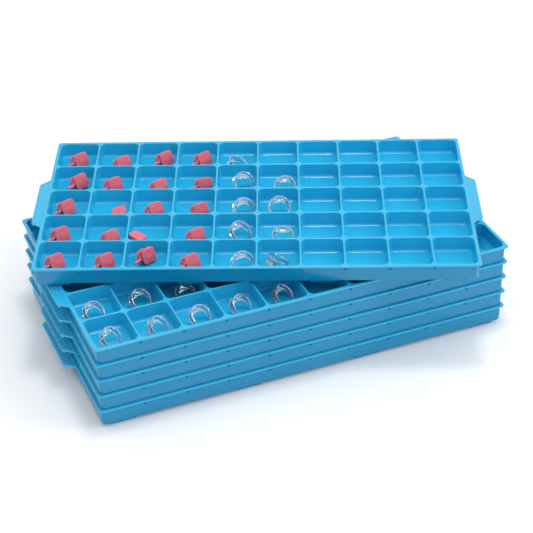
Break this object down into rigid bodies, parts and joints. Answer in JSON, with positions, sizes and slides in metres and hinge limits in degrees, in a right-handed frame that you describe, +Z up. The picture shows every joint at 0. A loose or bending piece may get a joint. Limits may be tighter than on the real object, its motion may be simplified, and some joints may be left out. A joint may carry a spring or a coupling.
{
  "type": "stacking compartment tray set",
  "caption": "Square pile of stacking compartment trays with end lugs, a turned tray on top, and small pink plugs and clear rings lying in its cells.",
  "frame": {"origin": "on the surface the pile stands on, under the middle of the turned top tray, which is the middle of the whole pile", "axes": "+X along the long side of the square pile, +Y to its back, +Z up"},
  "size_m": [0.5186, 0.4154, 0.1261],
  "materials": {
    "tray_plastic": "satin moulded blue polypropylene, a little lighter on worn rims",
    "pink_plastic": "soft pink moulded plastic",
    "clear_plastic": "polished clear plastic"
  },
  "bodies": {
    "tray_1": {"tray_1": "tray_plastic"},
    "tray_2": {"tray_2": "tray_plastic"},
    "tray_3": {"tray_3": "tray_plastic"},
    "tray_4": {"tray_4": "tray_plastic"},
    "tray_5": {"tray_5": "tray_plastic", "clear_ring_t5_c5_r5": "clear_plastic", "clear_ring_t5_c2_r4": "clear_plastic", "clear_ring_t5_c3_r4": "clear_plastic", "clear_ring_t5_c1_r2": "clear_plastic"},
    "tray_6": {"tray_6": "tray_plastic"},
    "pink_plug_c1_r1": {"pink_plug_c1_r1": "pink_plastic"},
    "pink_plug_c2_r1": {"pink_plug_c2_r1": "pink_plastic"},
    "pink_plug_c3_r1": {"pink_plug_c3_r1": "pink_plastic"},
    "pink_plug_c4_r1": {"pink_plug_c4_r1": "pink_plastic"},
    "pink_plug_c1_r2": {"pink_plug_c1_r2": "pink_plastic"},
    "pink_plug_c2_r2": {"pink_plug_c2_r2": "pink_plastic"},
    "pink_plug_c3_r2": {"pink_plug_c3_r2": "pink_plastic"},
    "pink_plug_c4_r2": {"pink_plug_c4_r2": "pink_plastic"},
    "pink_plug_c1_r3": {"pink_plug_c1_r3": "pink_plastic"},
    "pink_plug_c2_r3": {"pink_plug_c2_r3": "pink_plastic"},
    "pink_plug_c3_r3": {"pink_plug_c3_r3": "pink_plastic"},
    "pink_plug_c4_r3": {"pink_plug_c4_r3": "pink_plastic"},
    "pink_plug_c1_r4": {"pink_plug_c1_r4": "pink_plastic"},
    "pink_plug_c2_r4": {"pink_plug_c2_r4": "pink_plastic"},
    "pink_plug_c3_r4": {"pink_plug_c3_r4": "pink_plastic"},
    "pink_plug_c4_r4": {"pink_plug_c4_r4": "pink_plastic"},
    "pink_plug_c1_r5": {"pink_plug_c1_r5": "pink_plastic"},
    "pink_plug_c2_r5": {"pink_plug_c2_r5": "pink_plastic"},
    "pink_plug_c3_r5": {"pink_plug_c3_r5": "pink_plastic"},
    "pink_plug_c4_r5": {"pink_plug_c4_r5": "pink_plastic"},
    "clear_ring_t6_c5_r1": {"clear_ring_t6_c5_r1": "clear_plastic"},
    "clear_ring_t6_c5_r2": {"clear_ring_t6_c5_r2": "clear_plastic"},
    "clear_ring_t6_c5_r3": {"clear_ring_t6_c5_r3": "clear_plastic"},
    "clear_ring_t6_c5_r4": {"clear_ring_t6_c5_r4": "clear_plastic"},
    "clear_ring_t6_c5_r5": {"clear_ring_t6_c5_r5": "clear_plastic"},
    "clear_ring_t6_c6_r2": {"clear_ring_t6_c6_r2": "clear_plastic"},
    "clear_ring_t6_c6_r3": {"clear_ring_t6_c6_r3": "clear_plastic"},
    "clear_ring_t6_c6_r4": {"clear_ring_t6_c6_r4": "clear_plastic"},
    "clear_ring_t6_c6_r5": {"clear_ring_t6_c6_r5": "clear_plastic"},
    "clear_ring_t5_c1_r5": {"clear_ring_t5_c1_r5": "clear_plastic"},
    "clear_ring_t5_c2_r5": {"clear_ring_t5_c2_r5": "clear_plastic"},
    "clear_ring_t5_c3_r5": {"clear_ring_t5_c3_r5": "clear_plastic"},
    "clear_ring_t5_c4_r5": {"clear_ring_t5_c4_r5": "clear_plastic"},
    "clear_ring_t5_c1_r4": {"clear_ring_t5_c1_r4": "clear_plastic"}
  },
  "joints": [
    {"name": "tray_2_lift", "type": "slide", "parent": "tray_1", "child": "tray_2", "axis": [0, 0, 1], "range_m": [0, 0.06]},
    {"name": "tray_3_lift", "type": "slide", "parent": "tray_2", "child": "tray_3", "axis": [0, 0, 1], "range_m": [0, 0.06]},
    {"name": "tray_4_lift", "type": "slide", "parent": "tray_3", "child": "tray_4", "axis": [0, 0, 1], "range_m": [0, 0.06]},
    {"name": "tray_5_lift", "type": "slide", "parent": "tray_4", "child": "tray_5", "axis": [0, 0, 1], "range_m": [0, 0.06]},
    {"name": "tray_6_lift", "type": "slide", "parent": "tray_5", "child": "tray_6", "axis": [0, 0, 1], "range_m": [0, 0.06]},
    {"name": "pink_plug_c1_r1_lift", "type": "slide", "parent": "tray_6", "child": "pink_plug_c1_r1", "axis": [0, 0, 1], "range_m": [0, 0.03]},
    {"name": "pink_plug_c2_r1_lift", "type": "slide", "parent": "tray_6", "child": "pink_plug_c2_r1", "axis": [0, 0, 1], "range_m": [0, 0.03]},
    {"name": "pink_plug_c3_r1_lift", "type": "slide", "parent": "tray_6", "child": "pink_plug_c3_r1", "axis": [0, 0, 1], "range_m": [0, 0.03]},
    {"name": "pink_plug_c4_r1_lift", "type": "slide", "parent": "tray_6", "child": "pink_plug_c4_r1", "axis": [0, 0, 1], "range_m": [0, 0.03]},
    {"name": "pink_plug_c1_r2_lift", "type": "slide", "parent": "tray_6", "child": "pink_plug_c1_r2", "axis": [0, 0, 1], "range_m": [0, 0.03]},
    {"name": "pink_plug_c2_r2_lift", "type": "slide", "parent": "tray_6", "child": "pink_plug_c2_r2", "axis": [0, 0, 1], "range_m": [0, 0.03]},
    {"name": "pink_plug_c3_r2_lift", "type": "slide", "parent": "tray_6", "child": "pink_plug_c3_r2", "axis": [0, 0, 1], "range_m": [0, 0.03]},
    {"name": "pink_plug_c4_r2_lift", "type": "slide", "parent": "tray_6", "child": "pink_plug_c4_r2", "axis": [0, 0, 1], "range_m": [0, 0.03]},
    {"name": "pink_plug_c1_r3_lift", "type": "slide", "parent": "tray_6", "child": "pink_plug_c1_r3", "axis": [0, 0, 1], "range_m": [0, 0.03]},
    {"name": "pink_plug_c2_r3_lift", "type": "slide", "parent": "tray_6", "child": "pink_plug_c2_r3", "axis": [0, 0, 1], "range_m": [0, 0.03]},
    {"name": "pink_plug_c3_r3_lift", "type": "slide", "parent": "tray_6", "child": "pink_plug_c3_r3", "axis": [0, 0, 1], "range_m": [0, 0.03]},
    {"name": "pink_plug_c4_r3_lift", "type": "slide", "parent": "tray_6", "child": "pink_plug_c4_r3", "axis": [0, 0, 1], "range_m": [0, 0.03]},
    {"name": "pink_plug_c1_r4_lift", "type": "slide", "parent": "tray_6", "child": "pink_plug_c1_r4", "axis": [0, 0, 1], "range_m": [0, 0.03]},
    {"name": "pink_plug_c2_r4_lift", "type": "slide", "parent": "tray_6", "child": "pink_plug_c2_r4", "axis": [0, 0, 1], "range_m": [0, 0.03]},
    {"name": "pink_plug_c3_r4_lift", "type": "slide", "parent": "tray_6", "child": "pink_plug_c3_r4", "axis": [0, 0, 1], "range_m": [0, 0.03]},
    {"name": "pink_plug_c4_r4_lift", "type": "slide", "parent": "tray_6", "child": "pink_plug_c4_r4", "axis": [0, 0, 1], "range_m": [0, 0.03]},
    {"name": "pink_plug_c1_r5_lift", "type": "slide", "parent": "tray_6", "child": "pink_plug_c1_r5", "axis": [0, 0, 1], "range_m": [0, 0.03]},
    {"name": "pink_plug_c2_r5_lift", "type": "slide", "parent": "tray_6", "child": "pink_plug_c2_r5", "axis": [0, 0, 1], "range_m": [0, 0.03]},
    {"name": "pink_plug_c3_r5_lift", "type": "slide", "parent": "tray_6", "child": "pink_plug_c3_r5", "axis": [0, 0, 1], "range_m": [0, 0.03]},
    {"name": "pink_plug_c4_r5_lift", "type": "slide", "parent": "tray_6", "child": "pink_plug_c4_r5", "axis": [0, 0, 1], "range_m": [0, 0.03]},
    {"name": "clear_ring_t6_c5_r1_lift", "type": "slide", "parent": "tray_6", "child": "clear_ring_t6_c5_r1", "axis": [0, 0, 1], "range_m": [0, 0.03]},
    {"name": "clear_ring_t6_c5_r2_lift", "type": "slide", "parent": "tray_6", "child": "clear_ring_t6_c5_r2", "axis": [0, 0, 1], "range_m": [0, 0.03]},
    {"name": "clear_ring_t6_c5_r3_lift", "type": "slide", "parent": "tray_6", "child": "clear_ring_t6_c5_r3", "axis": [0, 0, 1], "range_m": [0, 0.03]},
    {"name": "clear_ring_t6_c5_r4_lift", "type": "slide", "parent": "tray_6", "child": "clear_ring_t6_c5_r4", "axis": [0, 0, 1], "range_m": [0, 0.03]},
    {"name": "clear_ring_t6_c5_r5_lift", "type": "slide", "parent": "tray_6", "child": "clear_ring_t6_c5_r5", "axis": [0, 0, 1], "range_m": [0, 0.03]},
    {"name": "clear_ring_t6_c6_r2_lift", "type": "slide", "parent": "tray_6", "child": "clear_ring_t6_c6_r2", "axis": [0, 0, 1], "range_m": [0, 0.03]},
    {"name": "clear_ring_t6_c6_r3_lift", "type": "slide", "parent": "tray_6", "child": "clear_ring_t6_c6_r3", "axis": [0, 0, 1], "range_m": [0, 0.03]},
    {"name": "clear_ring_t6_c6_r4_lift", "type": "slide", "parent": "tray_6", "child": "clear_ring_t6_c6_r4", "axis": [0, 0, 1], "range_m": [0, 0.03]},
    {"name": "clear_ring_t6_c6_r5_lift", "type": "slide", "parent": "tray_6", "child": "clear_ring_t6_c6_r5", "axis": [0, 0, 1], "range_m": [0, 0.03]},
    {"name": "clear_ring_t5_c1_r5_lift", "type": "slide", "parent": "tray_5", "child": "clear_ring_t5_c1_r5", "axis": [0, 0, 1], "range_m": [0, 0.03]},
    {"name": "clear_ring_t5_c2_r5_lift", "type": "slide", "parent": "tray_5", "child": "clear_ring_t5_c2_r5", "axis": [0, 0, 1], "range_m": [0, 0.03]},
    {"name": "clear_ring_t5_c3_r5_lift", "type": "slide", "parent": "tray_5", "child": "clear_ring_t5_c3_r5", "axis": [0, 0, 1], "range_m": [0, 0.03]},
    {"name": "clear_ring_t5_c4_r5_lift", "type": "slide", "parent": "tray_5", "child": "clear_ring_t5_c4_r5", "axis": [0, 0, 1], "range_m": [0, 0.03]},
    {"name": "clear_ring_t5_c1_r4_lift", "type": "slide", "parent": "tray_5", "child": "clear_ring_t5_c1_r4", "axis": [0, 0, 1], "range_m": [0, 0.03]}
  ]
}
